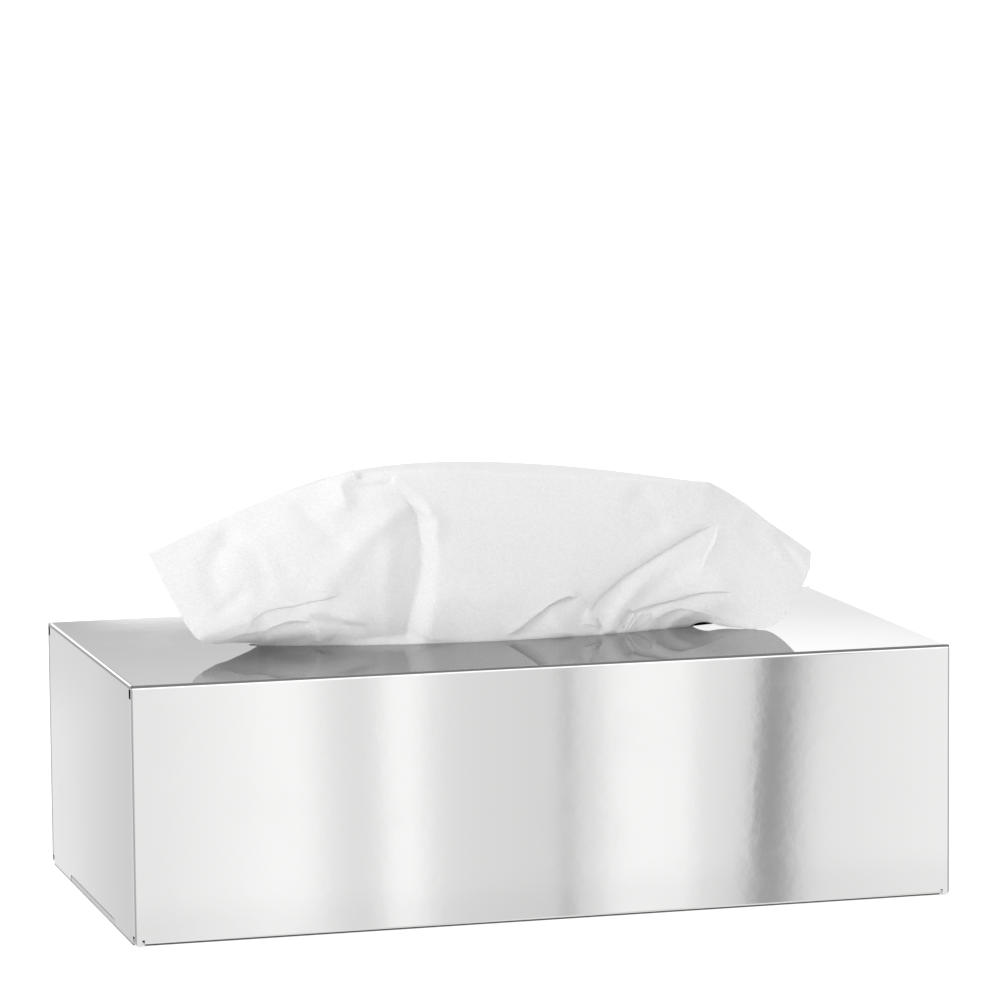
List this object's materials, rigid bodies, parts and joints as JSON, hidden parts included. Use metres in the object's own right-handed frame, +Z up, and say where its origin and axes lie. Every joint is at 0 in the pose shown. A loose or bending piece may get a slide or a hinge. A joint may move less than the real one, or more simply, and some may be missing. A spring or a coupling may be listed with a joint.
{
  "type": "napkin box",
  "caption": "Rectangular polished steel tissue box: folded cover with an eye-shaped slot over a base tray, a stack of tissues and one tissue drawn up.",
  "frame": {"origin": "middle of the footprint, on the surface the box stands on", "axes": "+X along the box, +Y from the front long wall to the back one, +Z up"},
  "size_m": [0.265, 0.14, 0.1367],
  "materials": {
    "polished_steel": "mirror-polished stainless steel sheet",
    "tray_steel": "satin stainless steel sheet",
    "stack_tissue": "soft white tissue paper, folded leaves",
    "white_tissue": "soft white tissue paper, lightly embossed"
  },
  "bodies": {
    "base": {"base_tray": "tray_steel", "tissue_stack": "stack_tissue"},
    "cover": {"cover": "polished_steel", "pulled_tissue": "white_tissue"}
  },
  "joints": [
    {"name": "cover_lift", "type": "slide", "parent": "base", "child": "cover", "axis": [0, 0, 1], "range_m": [0, 0.09]}
  ]
}
